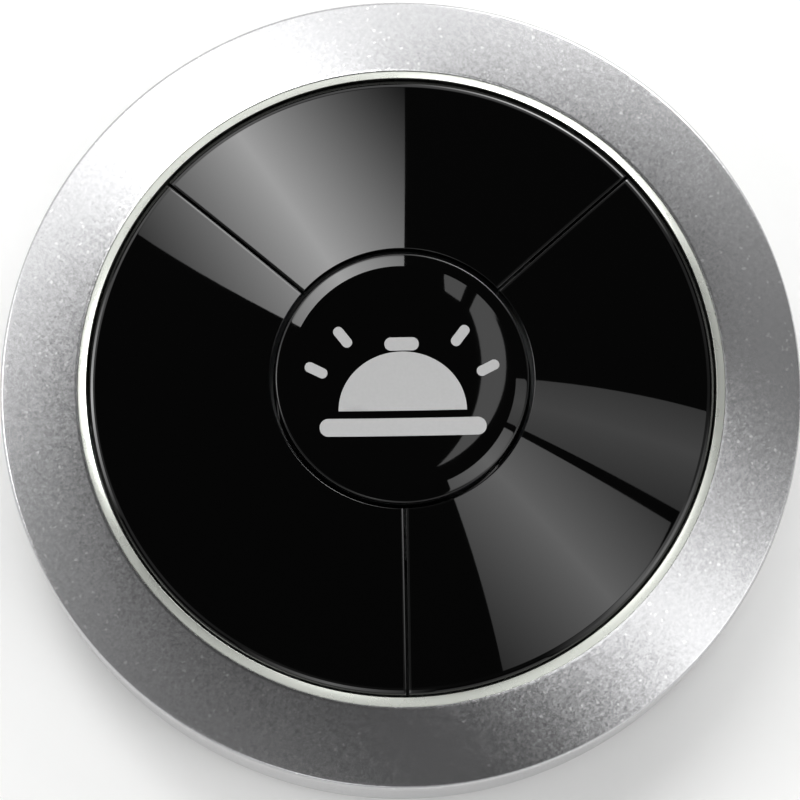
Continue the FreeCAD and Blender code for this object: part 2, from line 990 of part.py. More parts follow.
# Battery door: flange, cup for the cell, three lugs, a coin slot and a seal groove
def make_battery_door():
    cup = turned(
        (0, door_face),
        (door_flange_radius, door_face),
        (door_flange_radius, door_flange_top),
        (door_boss_radius, door_flange_top),
        (door_boss_radius, lug_top),
        (cup_radius, lug_top),
        (cup_radius, cup_floor),
        (0, cup_floor),
    )
    wall_middle = (door_boss_radius + cup_radius) / 2
    lugs = [
        wedge(wall_middle, lug_radius, lug_bottom, lug_top, a - lug_angle / 2, lug_angle)
        for a in even_angles(lug_count)
    ]
    slot_bottom = door_face - cut_overrun
    slot_top = door_face + coin_slot_depth
    straight = coin_slot_length - coin_slot_width
    slot = block(straight, coin_slot_width, slot_bottom, slot_top)
    ends = [
        rod(coin_slot_width / 2, slot_bottom, slot_top, V(side * straight / 2, 0, 0))
        for side in (-1, 1)
    ]
    half_groove = door_seal_section_radius + door_seal_clearance
    groove = tube(
        door_seal_circle_radius + half_groove,
        door_seal_circle_radius - half_groove,
        door_seal_bottom(),
        door_flange_top + cut_overrun,
    )
    return cup.fuse(lugs).removeSplitter().cut([slot, *ends, groove])


# Height of the seal groove's floor, so that the seal just reaches the base
def door_seal_bottom():
    return door_recess_top - door_seal_free_gap - 2 * door_seal_section_radius


def make_door_seal():
    height = door_seal_bottom() + door_seal_section_radius
    return Part.makeTorus(door_seal_circle_radius, door_seal_section_radius, V(0, 0, height))


def make_housing_seal():
    middle = seal_groove_radius + seal_free_gap + seal_section_radius
    return Part.makeTorus(middle, seal_section_radius, V(0, 0, seal_groove_height))


# Four rubber feet, rounded where they meet the table
def make_rubber_feet():
    feet = []
    for foot in rods(foot_radius, 0, foot_top, foot_circle_radius, foot_angles):
        lower = [e for e in foot.Edges if isinstance(e.Curve, Part.Circle) and e.Curve.Center.z == 0]
        feet.append(foot.makeFillet(foot_edge_radius, lower))
    return Part.makeCompound(feet)


# Pan-head screw standing on its head's underside, point up, with a cross recess
def screw(head_radius, head_height, shank_radius, shank_length):
    head = rod(head_radius, -head_height, 0)
    head = head.makeFillet(screw_head_rounding, circles(head, head_radius, -head_height))
    tip = shank_radius / 2
    shank = turned(
        (0, -head_height / 2),
        (shank_radius, -head_height / 2),
        (shank_radius, shank_length - tip),
        (tip, shank_length),
        (0, shank_length),
    )
    span = 2 * head_radius * screw_recess_span_share
    width = 2 * head_radius * screw_recess_width_share
    depth = head_height * screw_recess_depth_share
    cross = [block(span, width, -head_height - cut_overrun, depth - head_height, V(), a) for a in (0, 90)]
    return head.fuse(shank).removeSplitter().cut(cross)


def make_base_screws():
    one = screw(
        base_screw_head_radius,
        base_screw_head_height,
        base_screw_shank_radius,
        base_screw_shank_length,
    )
    return Part.makeCompound(
        [one.translated(polar(post_circle_radius, a, screw_seat)) for a in post_angles]
    )


def make_board_screws():
    one = screw(
        board_screw_head_radius,
        board_screw_head_height,
        board_screw_shank_radius,
        board_screw_shank_length,
    )
    return Part.makeCompound(
        [one.translated(polar(board_boss_circle_radius, a, board_bottom)) for a in board_boss_angles]
    )


def build():
    pieces = {
        "outer_ring": make_outer_ring(),
        "inner_trim_ring": make_inner_trim_ring(),
        **make_face_panels(),
        "call_button_cap": make_call_button_cap(),
        "light_guide_ring": make_light_guide_ring(),
        "face_carrier": make_face_carrier(),
        "silicone_keypad": make_silicone_keypad(),
        "contact_pill": make_contact_pill(),
        "circuit_board": make_circuit_board(),
        "key_contact_pads": make_key_contact_pads(),
        "indicator_leds": make_indicator_leds(),
        "loop_antenna": make_loop_antenna(),
        "encoder_chip": make_encoder_chip(),
        "saw_resonator": make_saw_resonator(),
        "rf_transistor": make_rf_transistor(),
        "chip_parts": make_chip_parts(),
        "battery_holder": make_battery_holder(),
        "battery_negative_contact": make_battery_negative_contact(),
        "battery_positive_contact": make_battery_positive_contact(),
        "coin_cell": make_coin_cell(),
        "base_cover": make_base_cover(),
        "battery_door": make_battery_door(),
        "door_seal": make_door_seal(),
        "housing_seal": make_housing_seal(),
        "rubber_feet": make_rubber_feet(),
        "base_screws": make_base_screws(),
        "board_screws": make_board_screws(),
    }
    os.makedirs("parts", exist_ok=True)
    for name, shape in pieces.items():
        shape.exportStep(f"parts/{name}.step")
        print(f"{name}: {len(shape.Solids)} solids, {shape.Volume:.1f} mm3, valid {shape.isValid()}")


build()
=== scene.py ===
import bpy
import bmesh
import math
from mathutils import Matrix, Vector


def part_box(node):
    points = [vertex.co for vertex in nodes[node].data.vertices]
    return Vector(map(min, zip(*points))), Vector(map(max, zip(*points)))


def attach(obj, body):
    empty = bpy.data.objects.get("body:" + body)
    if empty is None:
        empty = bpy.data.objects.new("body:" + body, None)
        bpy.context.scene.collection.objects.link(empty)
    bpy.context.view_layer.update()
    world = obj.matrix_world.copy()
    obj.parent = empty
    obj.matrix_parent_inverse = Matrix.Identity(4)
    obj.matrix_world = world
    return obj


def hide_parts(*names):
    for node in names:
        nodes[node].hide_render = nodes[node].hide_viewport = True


# Waiter call button on a table. Metres, +Z up, the guest sits at -Y.

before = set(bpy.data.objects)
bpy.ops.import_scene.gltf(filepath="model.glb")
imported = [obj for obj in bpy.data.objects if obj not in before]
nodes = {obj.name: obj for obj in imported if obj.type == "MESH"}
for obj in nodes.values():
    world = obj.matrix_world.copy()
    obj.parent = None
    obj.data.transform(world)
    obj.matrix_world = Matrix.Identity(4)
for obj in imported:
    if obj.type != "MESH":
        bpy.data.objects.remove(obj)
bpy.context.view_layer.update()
mm = 0.001
turn = math.tau
spinSteps = 256   # sides of every turned piece

print("frame loaded:", len(nodes), "nodes")


# Colours and nodes

def linear(hexCode):
    parts = [int(hexCode[i:i + 2], 16) / 255 for i in (1, 3, 5)]
    return (*[p / 12.92 if p <= 0.04045 else ((p + 0.055) / 1.055) ** 2.4 for p in parts], 1.0)


def addNode(tree, kind, values=None, links=None, **settings):
    node = tree.nodes.new(kind)
    for key, value in settings.items():
        setattr(node, key, value)
    for key, value in (values or {}).items():
        node.inputs[key].default_value = value
    for key, source in (links or {}).items():
        tree.links.new(source, node.inputs[key])
    return node


def newMaterial(name, look):
    material = bpy.data.materials.new(name)
    material.use_nodes = True
    tree = material.node_tree
    shader = tree.nodes["Principled BSDF"]
    shader.inputs["Base Color"].default_value = linear(look["colour"])
    shader.inputs["Roughness"].default_value = look["roughness"]
    shader.inputs["Metallic"].default_value = look.get("metallic", 0.0)
    if "ior" in look:
        shader.inputs["IOR"].default_value = look["ior"]
    return material, tree, shader


def perMetre(size):
    return 1 / (size * mm)   # texture scale for grains of a size in millimetres


# Materials that show from above

def makeFlakePaint():
    # Silver flake paint sprayed on ABS: a soft sheen with a fine mottle and a few bright specks.
    # Real flakes are about 0.05 mm, drawn three to six times as coarse so that they show.
    look = {
        "colour": "#CCCCCD", "roughness": 0.24, "metallic": 1.0,
        "flake": 0.28, "flakeTilt": 0.03, "dust": 0.15, "dustTilt": 0.026,
        "mottle": 0.4, "mottleShade": "#BCBCBE", "speckShare": 0.014, "speckColour": "#D8D8D9",
    }
    material, tree, shader = newMaterial("silverFlakePaint", look)
    place = addNode(tree, "ShaderNodeTexCoord").outputs["Object"]
    normal = addNode(tree, "ShaderNodeNewGeometry").outputs["Normal"]
    for grain, tilt in (("dust", "dustTilt"), ("flake", "flakeTilt")):
        cells = addNode(
            tree, "ShaderNodeTexVoronoi", {"Scale": perMetre(look[grain])}, {"Vector": place}
        )
        centred = addNode(
            tree, "ShaderNodeVectorMath", {1: (0.5, 0.5, 0.5)}, {0: cells.outputs["Color"]},
            operation="SUBTRACT",
        )
        tilted = addNode(
            tree, "ShaderNodeVectorMath", {"Scale": look[tilt]}, {0: centred.outputs[0]},
            operation="SCALE",
        )
        normal = addNode(
            tree, "ShaderNodeVectorMath", None, {0: normal, 1: tilted.outputs[0]}, operation="ADD"
        ).outputs[0]
    unit = addNode(tree, "ShaderNodeVectorMath", None, {0: normal}, operation="NORMALIZE")
    tree.links.new(unit.outputs[0], shader.inputs["Normal"])
    mottle = addNode(
        tree, "ShaderNodeTexNoise", {"Scale": perMetre(look["mottle"]), "Detail": 2.0},
        {"Vector": place},
    )
    shade = addNode(
        tree, "ShaderNodeMix", {"A": linear(look["mottleShade"]), "B": linear(look["colour"])},
        {"Factor": mottle.outputs["Fac"]}, data_type="RGBA",
    )
    # The cells drawn last are the flakes, and a few of them stand out as specks
    chance = addNode(tree, "ShaderNodeSeparateXYZ", None, {"Vector": cells.outputs["Color"]})
    speck = addNode(
        tree, "ShaderNodeMath", {1: 1 - look["speckShare"]}, {0: chance.outputs["Z"]},
        operation="GREATER_THAN",
    )
    bright = addNode(
        tree, "ShaderNodeMix", {"B": linear(look["speckColour"])},
        {"Factor": speck.outputs[0], "A": shade.outputs["Result"]}, data_type="RGBA",
    )
    tree.links.new(bright.outputs["Result"], shader.inputs["Base Color"])
    return material


def makeTurnedAluminium():
    # Turned and polished aluminium: bright, with tool marks round the axis. The marks are drawn
    # four times as coarse as a real feed of 0.03 mm, so that they show.
    look = {
        "colour": "#E3E6DE", "roughness": 0.28, "metallic": 1.0,
        "feed": 0.12, "markDepth": 0.0006, "stain": 2.5, "stainSpread": 0.25,
    }
    material, tree, shader = newMaterial("turnedAluminium", look)
    place = addNode(tree, "ShaderNodeTexCoord").outputs["Object"]
    flat = addNode(
        tree, "ShaderNodeVectorMath", {1: (1.0, 1.0, 0.0)}, {0: place}, operation="MULTIPLY"
    )
    radius = addNode(tree, "ShaderNodeVectorMath", None, {0: flat.outputs[0]}, operation="LENGTH")
    wave = addNode(
        tree, "ShaderNodeMath", {1: turn * perMetre(look["feed"])}, {0: radius.outputs["Value"]},
        operation="MULTIPLY",
    )
    marks = addNode(tree, "ShaderNodeMath", None, {0: wave.outputs[0]}, operation="SINE")
    bump = addNode(
        tree, "ShaderNodeBump", {"Strength": 1.0, "Distance": look["markDepth"] * mm},
        {"Height": marks.outputs[0]},
    )
    tree.links.new(bump.outputs["Normal"], shader.inputs["Normal"])
    stain = addNode(
        tree, "ShaderNodeTexNoise", {"Scale": perMetre(look["stain"])}, {"Vector": place}
    )
    dull = addNode(
        tree, "ShaderNodeMapRange",
        {
            "To Min": look["roughness"] * (1 - look["stainSpread"]),
            "To Max": look["roughness"] * (1 + look["stainSpread"]),
        },
        {"Value": stain.outputs["Fac"]},
    )
    tree.links.new(dull.outputs["Result"], shader.inputs["Roughness"])
    return material


def makePolishedAcrylic(name, colour):
    # Polished black acrylic: a mirror-like black, with a trace of handling in how sharp it shines
    look = {
        "colour": colour, "roughness": 0.012, "roughest": 0.022, "ior": 1.49,
        "handling": 14.0, "cleanUpTo": 0.35, "dulledFrom": 0.7,
        "ripple": 6.0, "rippleDepth": 0.0001,
    }
    material, tree, shader = newMaterial(name, look)
    place = addNode(tree, "ShaderNodeTexCoord").outputs["Object"]
    handling = addNode(
        tree, "ShaderNodeTexNoise", {"Scale": perMetre(look["handling"]), "Detail": 4.0},
        {"Vector": place},
    )
    sharp = addNode(
        tree, "ShaderNodeMapRange",
        {
            "From Min": look["cleanUpTo"], "From Max": look["dulledFrom"],
            "To Min": look["roughness"], "To Max": look["roughest"],
        },
        {"Value": handling.outputs["Fac"]},
    )
    tree.links.new(sharp.outputs["Result"], shader.inputs["Roughness"])
    ripple = addNode(
        tree, "ShaderNodeTexNoise", {"Scale": perMetre(look["ripple"])}, {"Vector": place}
    )
    bump = addNode(
        tree, "ShaderNodeBump", {"Strength": 1.0, "Distance": look["rippleDepth"] * mm},
        {"Height": ripple.outputs["Fac"]},
    )
    tree.links.new(bump.outputs["Normal"], shader.inputs["Normal"])
    return material


def makeClearPolycarbonate():
    # Clear moulded polycarbonate with a frosted top: lets the light through softly. Its grey tint
    # is painted shade, which keeps it dark where it lies deep in a gap
    look = {
        "colour": "#767C80", "roughness": 0.3, "ior": 1.58, "clearShare": 0.9,
        "flow": 1.2, "flowDepth": 0.001,
    }
    material, tree, shader = newMaterial("clearPolycarbonate", look)
    shader.inputs["Transmission Weight"].default_value = look["clearShare"]
    place = addNode(tree, "ShaderNodeTexCoord").outputs["Object"]
    flow = addNode(
        tree, "ShaderNodeTexNoise", {"Scale": perMetre(look["flow"])}, {"Vector": place}
    )
    bump = addNode(
        tree, "ShaderNodeBump", {"Strength": 1.0, "Distance": look["flowDepth"] * mm},
        {"Height": flow.outputs["Fac"]},
    )
    tree.links.new(bump.outputs["Normal"], shader.inputs["Normal"])
    return material


# Solid finishes, each a ground colour and a second one that a grain mixes in, with the grain's
# size and depth in millimetres. Stretch draws the grain out along one axis, as on brushed strip.
grainSpread = 0.15   # share by which the grain moves a finish's roughness up and down
finishes = {
    # Screen-printed ink: flat pale grey with a slight edge to its gloss
    "paleInk": {
        "colour": "#B8B8B8", "grainColour": "#B0B0B0", "roughness": 0.4,
        "grain": 0.3, "depth": 0.001,
    },
    # ABS moulded in a spark-eroded tool: dull black with an even fine grain
    "texturedAbs": {
        "colour": "#1A1A1C", "grainColour": "#121213", "roughness": 0.62,
        "grain": 0.28, "depth": 0.03,
    },
    # ABS from a plain steel tool: black with a low sheen
    "plainAbs": {
        "colour": "#161617", "grainColour": "#101011", "roughness": 0.45,
        "grain": 0.8, "depth": 0.003,
    },
    # Translucent silicone: milky grey and slightly greasy
    "milkySilicone": {
        "colour": "#D6D6D1", "grainColour": "#C8C8C2", "roughness": 0.5,
        "grain": 1.5, "depth": 0.004,
    },
    # Carbon-filled silicone: dead black
    "carbonSilicone": {
        "colour": "#101010", "grainColour": "#1C1C1C", "roughness": 0.8,
        "grain": 0.2, "depth": 0.01,
    },
    # Glass-filled laminate under green solder mask: the weave shows through
    "solderMask": {
        "colour": "#1B6B34", "grainColour": "#15582A", "roughness": 0.3,
        "grain": 0.5, "depth": 0.006,
    },
    # Gold flash over nickel: warm, slightly orange-peeled
    "goldFlash": {
        "colour": "#E6BE62", "grainColour": "#DDB154", "roughness": 0.3, "metallic": 1.0,
        "grain": 0.3, "depth": 0.002,
    },
    # Water-clear LED resin over a pale frame
    "ledResin": {
        "colour": "#EDE6C4", "grainColour": "#E2D9AF", "roughness": 0.15, "ior": 1.54,
        "grain": 0.6, "depth": 0.002,
    },
    # Bare copper trace, a little oxidised
    "copperTrace": {
        "colour": "#D08A62", "grainColour": "#B87550", "roughness": 0.35, "metallic": 1.0,
        "grain": 1.2, "depth": 0.003,
    },
    # Transfer-moulded epoxy: charcoal, dull, finely pitted
    "mouldedEpoxy": {
        "colour": "#202022", "grainColour": "#28282A", "roughness": 0.6,
        "grain": 0.12, "depth": 0.01,
    },
    # Drawn nickel-plated can: bright with faint draw lines down its sides
    "nickelCan": {
        "colour": "#C9C6BE", "grainColour": "#BBB8AF", "roughness": 0.22, "metallic": 1.0,
        "grain": 0.25, "depth": 0.002, "stretch": (1.0, 1.0, 0.08),
    },
    # Fired ceramic of chip resistors and capacitors: brown and chalky
    "firedCeramic": {
        "colour": "#8A7057", "grainColour": "#776049", "roughness": 0.55,
        "grain": 0.2, "depth": 0.006,
    },
    # Rolled spring strip, nickel plated: long fine rolling lines
    "springStrip": {
        "colour": "#CFCCC5", "grainColour": "#B9B6AE", "roughness": 0.28, "metallic": 1.0,
        "grain": 0.15, "depth": 0.002, "stretch": (0.06, 1.0, 1.0),
    },
    # Coin cell can: pressed nickel-plated steel with a satin face
    "satinNickel": {
        "colour": "#D3D1CB", "grainColour": "#C5C3BC", "roughness": 0.33, "metallic": 1.0,
        "grain": 0.4, "depth": 0.002,
    },
    # Nitrile rubber of the sealing rings: black with a soft bloom
    "sealRubber": {
        "colour": "#191919", "grainColour": "#222222", "roughness": 0.7,
        "grain": 0.5, "depth": 0.004,
    },
    # Soft rubber feet: matt dark grey, a little dusty where they were handled
    "matRubber": {
        "colour": "#242424", "grainColour": "#303030", "roughness": 0.85,
        "grain": 0.35, "depth": 0.015,
    },
    # Zinc-plated steel screws: grey metal with a patchy passivation
    "zincPlate": {
        "colour": "#A9ABB0", "grainColour": "#8F9299", "roughness": 0.36, "metallic": 1.0,
        "grain": 0.5, "depth": 0.003,
    },
}


def makeFinish(name):
    look = finishes[name]
    material, tree, shader = newMaterial(name, look)
    place = addNode(tree, "ShaderNodeTexCoord").outputs["Object"]
    drawn = addNode(
        tree, "ShaderNodeMapping", {"Scale": look.get("stretch", (1.0, 1.0, 1.0))},
        {"Vector": place},
    )
    grain = addNode(
        tree, "ShaderNodeTexNoise", {"Scale": perMetre(look["grain"]), "Detail": 3.0},
        {"Vector": drawn.outputs["Vector"]},
    )
    shade = addNode(
        tree, "ShaderNodeMix", {"A": linear(look["colour"]), "B": linear(look["grainColour"])},
        {"Factor": grain.outputs["Fac"]}, data_type="RGBA",
    )
    tree.links.new(shade.outputs["Result"], shader.inputs["Base Color"])
    rough = addNode(
        tree, "ShaderNodeMapRange",
        {
            "To Min": look["roughness"] * (1 - grainSpread),
            "To Max": look["roughness"] * (1 + grainSpread),
        },
        {"Value": grain.outputs["Fac"]},
    )
    tree.links.new(rough.outputs["Result"], shader.inputs["Roughness"])
    bump = addNode(
        tree, "ShaderNodeBump", {"Strength": 1.0, "Distance": look["depth"] * mm},
        {"Height": grain.outputs["Fac"]},
    )
    tree.links.new(bump.outputs["Normal"], shader.inputs["Normal"])
    return material


flakePaint = makeFlakePaint()
turnedAluminium = makeTurnedAluminium()
faceAcrylic = makePolishedAcrylic("polishedFaceAcrylic", "#040404")
grooveHighlightAcrylic = makePolishedAcrylic("grooveEdgePaintedHighlight", "#181818")   # greyer, a painted highlight along the groove edges
capAcrylic = makePolishedAcrylic("polishedCapAcrylic", "#040404")
clearPolycarbonate = makeClearPolycarbonate()
made = {name: makeFinish(name) for name in finishes}
print("materials made:", len(bpy.data.materials))


# Mesh tools shared by the pieces

# The large sphere that the ring's top, the face and the button's rim lie on, and the seam that
# the solids leave between the trim and the ring
dome = {"radius": 146.0 * mm, "trimSeam": 0.1 * mm}
shading = {
    "mergeReach": 0.002 * mm,         # new pieces: seam points closer than this become one
    "pieceCrease": math.radians(32),  # and edges that turn more than this stay crisp
    "weldReach": 0.001 * mm,          # the same two for the unit's own solids
    "nodeCrease": math.radians(34),
}
ringLow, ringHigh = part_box("outer_ring")
trimLow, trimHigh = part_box("inner_trim_ring")
capLow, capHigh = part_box("call_button_cap")
openingRadius = trimHigh.x + dome["trimSeam"]
domeCentre = ringHigh.z - math.sqrt(dome["radius"] ** 2 - openingRadius ** 2)


def domeHeight(radius, raised=0.0):
    return domeCentre + raised + math.sqrt(dome["radius"] ** 2 - radius ** 2)


def domeTilt(radius):
    return math.asin(radius / dome["radius"])


# Outline in the XZ plane. A step is a place (radius, height), or an arc about one as
# (radius, height, angle, steps), where a positive angle goes outwards and down over the top.
def drawOutline(bm, start, steps, closed=True):
    first = here = bm.verts.new((start[0], 0, start[1]))
    for step in steps:
        if len(step) == 2:
            there = bm.verts.new((step[0], 0, step[1]))
            bm.edges.new((here, there))
        else:
            spun = bmesh.ops.spin(
                bm, geom=[here], cent=(step[0], 0, step[1]), axis=(0, 1, 0),
                angle=step[2], steps=step[3],
            )
            there = [v for v in spun["geom_last"] if isinstance(v, bmesh.types.BMVert)][0]
        here = there
    if closed:
        bm.edges.new((here, first))


def spinOutline(bm, angle=turn, steps=spinSteps):
    bmesh.ops.spin(
        bm, geom=bm.verts[:] + bm.edges[:], cent=(0, 0, 0), axis=(0, 0, 1),
        angle=angle, steps=steps, use_merge=angle == turn,
    )
    bmesh.ops.remove_doubles(bm, verts=bm.verts, dist=shading["mergeReach"])


def circleEdges(bm, radius, height):
    slack = 0.01 * mm
    return [
        e for e in bm.edges
        if all(abs(math.hypot(v.co.x, v.co.y) - radius) < slack for v in e.verts)
        and all(abs(v.co.z - height) < slack for v in e.verts)
    ]


def roundEdges(bm, edges, size, segments):
    bmesh.ops.bevel(
        bm, geom=edges, offset=size, offset_type="OFFSET", affect="EDGES",
        segments=segments, profile=0.5, material=-1,
    )


def finishPiece(bm, name, material, body, slot, *replaced):
    bmesh.ops.recalc_face_normals(bm, faces=bm.faces)
    for polygon in bm.faces:
        polygon.smooth = True
    for edge in bm.edges:
        if len(edge.link_faces) == 2 and edge.calc_face_angle() > shading["pieceCrease"]:
            edge.smooth = False
    mesh = bpy.data.meshes.new(name)
    bm.to_mesh(mesh)
    bm.free()
    piece = bpy.data.objects.new(name, mesh)
    bpy.context.scene.collection.objects.link(piece)
    piece.data.materials.append(material)
    weighted = piece.modifiers.new("evenShading", "WEIGHTED_NORMAL")
    weighted.keep_sharp = True
    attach(piece, body)
    if replaced:
        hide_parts(*replaced)
    return piece


# Silver ring

silverRing = {
    "wall": 2.0 * mm,
    "edgeRounding": 0.5 * mm,
    "footRounding": 0.4 * mm,
    "lipWall": 1.5 * mm,
    "ledgeThickness": 1.5 * mm,
    "ledgeReach": 3.15 * mm,
    "mouthRounding": 0.06 * mm,
    "topSteps": 24,
    "edgeSteps": 12,
    "footSteps": 4,
    "mouthSteps": 3,
}


def makeSilverRing():
    bm = bmesh.new()
    outer = ringHigh.x
    inside = outer - silverRing["wall"]
    rounding = silverRing["edgeRounding"]
    lip = openingRadius + silverRing["lipWall"]
    ledge = openingRadius - silverRing["ledgeReach"]
    ledgeTop = trimLow.z
    ledgeUnder = ledgeTop - silverRing["ledgeThickness"]
    roundCentre = outer - rounding
    roundTilt = math.asin(roundCentre / (dome["radius"] - rounding))
    roundHeight = domeCentre + math.sqrt((dome["radius"] - rounding) ** 2 - roundCentre ** 2)
    drawOutline(bm, (openingRadius, domeHeight(openingRadius)), [
        (0, domeCentre, roundTilt - domeTilt(openingRadius), silverRing["topSteps"]),
        (roundCentre, roundHeight, turn / 4 - roundTilt, silverRing["edgeSteps"]),
        (outer, ringLow.z),
        (inside, ringLow.z),
        (inside, domeHeight(inside) - silverRing["wall"]),
        (lip, domeHeight(lip) - silverRing["wall"]),
        (lip, ledgeUnder),
        (ledge, ledgeUnder),
        (ledge, ledgeTop),
        (openingRadius, ledgeTop),
    ])
    spinOutline(bm)
    foot = circleEdges(bm, outer, ringLow.z)
    roundEdges(bm, foot, silverRing["footRounding"], silverRing["footSteps"])
    mouth = circleEdges(bm, openingRadius, domeHeight(openingRadius))
    roundEdges(bm, mouth, silverRing["mouthRounding"], silverRing["mouthSteps"])
    return finishPiece(bm, "silverRing", flakePaint, "housing", "silver_ring", "outer_ring")


makeSilverRing()


# Bright trim ring, whose top is a crown that falls outwards between two angles

trim = {
    "width": 0.85 * mm,
    "seam": 0.03 * mm,
    "innerBevel": 0.04 * mm,
    "crownStart": math.radians(29),
    "crownEnd": math.radians(38),
    "crownSteps": 8,
}


def makeBrightTrim():
    bm = bmesh.new()
    outer = openingRadius - trim["seam"]
    inner = trimHigh.x - trim["width"]
    top = trimHigh.z
    crest = inner + trim["innerBevel"]
    start, end = trim["crownStart"], trim["crownEnd"]
    bend = (outer - crest) / (math.sin(end) - math.sin(start))
    bendCentre = (crest - bend * math.sin(start), top - bend * math.cos(start))
    drawOutline(bm, (inner, trimLow.z), [
        (inner, top - trim["innerBevel"]),
        (crest, top),
        (*bendCentre, end - start, trim["crownSteps"]),
        (outer, trimLow.z),
    ])
    spinOutline(bm)
    return finishPiece(
        bm, "brightTrim", turnedAluminium, "housing", "bright_trim", "inner_trim_ring"
    )


makeBrightTrim()
print("ring and trim made")


# Face panels

face = {
    "flangeReach": 1.45 * mm,        # how far the cap's stop flange stands out past its skirt
    "buttonGap": 0.5 * mm,
    "grooveWidth": 0.3 * mm,
    "edgeRounding": 0.05 * mm,
    "bevelWidth": 0.55 * mm,
    "bevelAngle": math.radians(27),
    "creaseRounding": 0.1 * mm,
    "lipWidth": 0.07 * mm,
    "lipAngle": math.radians(30),
    "edgeStripWidth": 0.25 * mm,          # width of the narrow strips along the edges; the one along each groove is lighter, a painted highlight
    "highlightStripMaterial": 1,                # that groove strip's place in the panel's materials
    "topNormal": 0.5,                # faces whose normal rises more than this are the top
    "deckThickness": 1.6 * mm,
    "shelfHeight": 18.2 * mm,
    "skirtRadius": 19.0 * mm,
    "columns": 96,
    "rows": 36,
    "roundingSteps": 3,
    "sectors": {                     # each node's piece, with its first and last angle
        "top_face_panel": ("topPanel", 42.0, 138.0),
        "left_face_panel": ("leftPanel", 138.0, 270.0),
        "right_face_panel": ("rightPanel", -90.0, 42.0),
    },
}
buttonRadius = capHigh.x - face["flangeReach"]


def drawPanel(bm, inner, bevelled, outer, bottom):
    lip = inner + face["lipWidth"]
    lipDrop = face["lipWidth"] * math.tan(face["lipAngle"])
    bevelDrop = face["bevelWidth"] * math.tan(face["bevelAngle"])
    firstRow = domeTilt(lip + face["edgeStripWidth"]) - domeTilt(lip)
    lastRow = domeTilt(bevelled) - domeTilt(bevelled - face["edgeStripWidth"])
    middle = domeTilt(bevelled) - domeTilt(lip) - firstRow - lastRow
    drawOutline(bm, (inner, domeHeight(lip) - lipDrop), [
        (lip, domeHeight(lip)),
        (0, domeCentre, firstRow, 1),
        (0, domeCentre, middle, face["rows"]),
        (0, domeCentre, lastRow, 1),
        (outer, domeHeight(bevelled) - bevelDrop),
        (outer, bottom),
        (face["skirtRadius"], bottom),
        (face["skirtRadius"], face["shelfHeight"]),
        (inner, face["shelfHeight"]),
    ])


# The columns fan out from the grooves' straight sides instead of from the axis, with one narrow
# column along each groove
def spreadColumns(bm, startAngle, span):
    half = face["grooveWidth"] / 2
    last = face["columns"]
    columns = {}
    for vert in bm.verts:
        radius = math.hypot(vert.co.x, vert.co.y)
        column = round(math.atan2(vert.co.y, vert.co.x) % turn / span * last)
        columns[vert] = column
        side = math.asin(half / radius)
        inset = math.asin((half + face["edgeStripWidth"]) / radius)
        if column in (0, last):
            angle = side if column == 0 else span - side
        else:
            share = (column - 1) / (last - 2)
            angle = inset + share * (span - 2 * inset)
        angle += startAngle
        vert.co.x = radius * math.cos(angle)
        vert.co.y = radius * math.sin(angle)
    return columns


def makePanel(node, name, startAngle, endAngle):
    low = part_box("left_face_panel")[0]
    outer = -low.x
    inner = buttonRadius + face["buttonGap"]
    bevelled = outer - face["bevelWidth"]
    span = math.radians(endAngle - startAngle)
    last = face["columns"]
    bm = bmesh.new()
    drawPanel(bm, inner, bevelled, outer, low.z + face["deckThickness"])
    spinOutline(bm, span, last)
    bmesh.ops.edgeloop_fill(bm, edges=[e for e in bm.edges if e.is_boundary])
    columns = spreadColumns(bm, math.radians(startAngle), span)
    bm.normal_update()
    bmesh.ops.recalc_face_normals(bm, faces=bm.faces)
    top = {f for f in bm.faces if f.normal.z > face["topNormal"]}
    # The narrow strip along each groove gets the lighter acrylic, a painted highlight of its edge
    for strip in top:
        if {columns[v] for v in strip.verts} in ({0, 1}, {last - 1, last}):
            strip.material_index = face["highlightStripMaterial"]
    rim = [e for e in bm.edges if len(top.intersection(e.link_faces)) == 1]
    roundEdges(bm, rim, face["edgeRounding"], face["roundingSteps"])
    crease = circleEdges(bm, bevelled, domeHeight(bevelled))
    roundEdges(bm, crease, face["creaseRounding"], face["roundingSteps"])
    panel = finishPiece(bm, name, faceAcrylic, "housing", "gloss_black", node)
    panel.data.materials.append(grooveHighlightAcrylic)
    return panel


for node, (name, startAngle, endAngle) in face["sectors"].items():
    makePanel(node, name, startAngle, endAngle)
print("face panels made")


# Push button cap

cap = {
    "proud": 0.1 * mm,
    "edgeRounding": 0.35 * mm,
    "rimWidth": 1.45 * mm,
    "dishDepth": 0.45 * mm,
    "wall": 1.4 * mm,
    "roof": 1.5 * mm,
    "flangeThickness": 1.0 * mm,
    "plungerRadius": 3.5 * mm,
    "plungerDrop": 0.4 * mm,
    "dishSteps": 40,
    "rimSteps": 6,
    "edgeSteps": 10,
}
dishRadius = buttonRadius - cap["rimWidth"]
dishEdge = domeHeight(dishRadius, cap["proud"])
dishMiddle = dishEdge - cap["dishDepth"]
dishBend = (dishRadius ** 2 + cap["dishDepth"] ** 2) / (2 * cap["dishDepth"])


def dishHeight(radius):
    return dishMiddle + dishBend - math.sqrt(dishBend ** 2 - radius ** 2)


